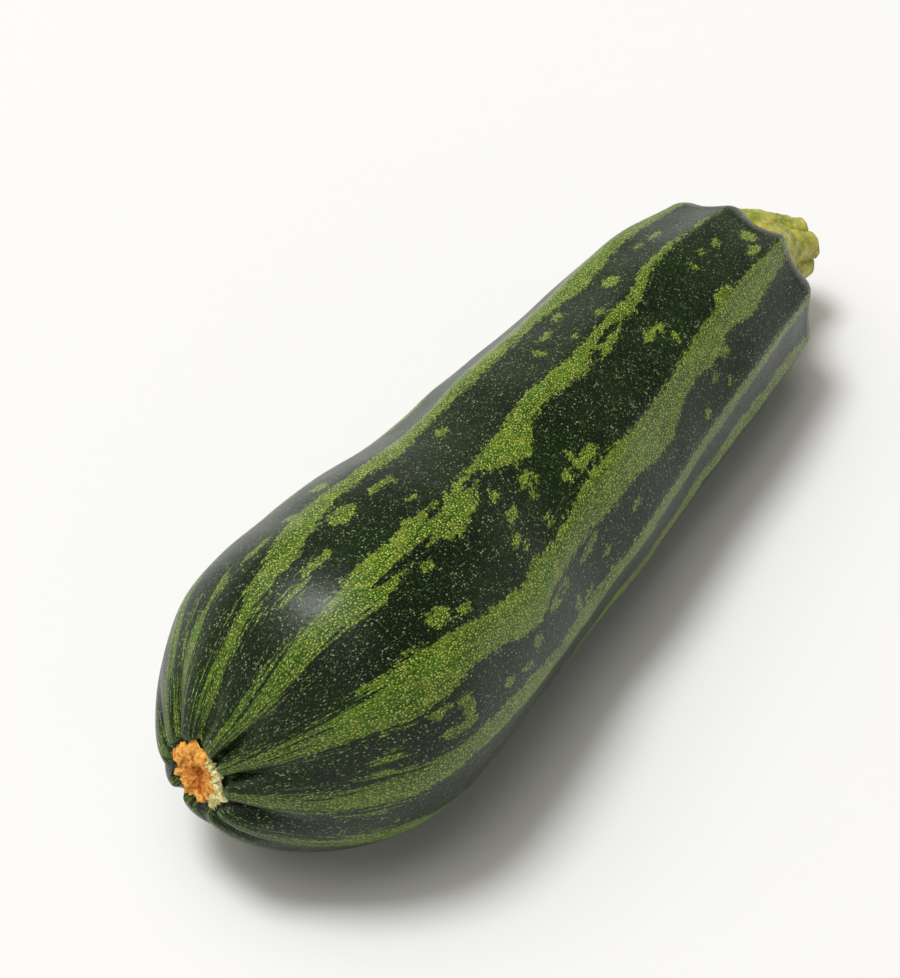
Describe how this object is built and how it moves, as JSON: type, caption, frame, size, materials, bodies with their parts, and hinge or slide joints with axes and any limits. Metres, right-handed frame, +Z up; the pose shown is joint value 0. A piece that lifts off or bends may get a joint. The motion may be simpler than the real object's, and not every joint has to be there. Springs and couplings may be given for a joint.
{
  "type": "zucchini",
  "caption": "Ridged dark green zucchini with light green stripes, a cut stem stub and a corky blossom scar, lying on its side.",
  "frame": {"origin": "middle of the part's footprint, on the surface that it lies on", "axes": "+X along the fruit from the blossom scar to the stem, +Z up"},
  "size_m": [0.2256, 0.0688, 0.0674],
  "materials": {
    "fruit_skin": "waxy glossy plant skin, dark green with light green stripes and fine pale specks",
    "stem_skin": "dull yellow-green mottled stem with a pale cut face",
    "cork": "rough orange-brown corky scar with a pale ragged rim"
  },
  "bodies": {
    "root": {"fruit": "fruit_skin", "stem": "stem_skin", "blossom_scar": "cork"}
  },
  "joints": []
}
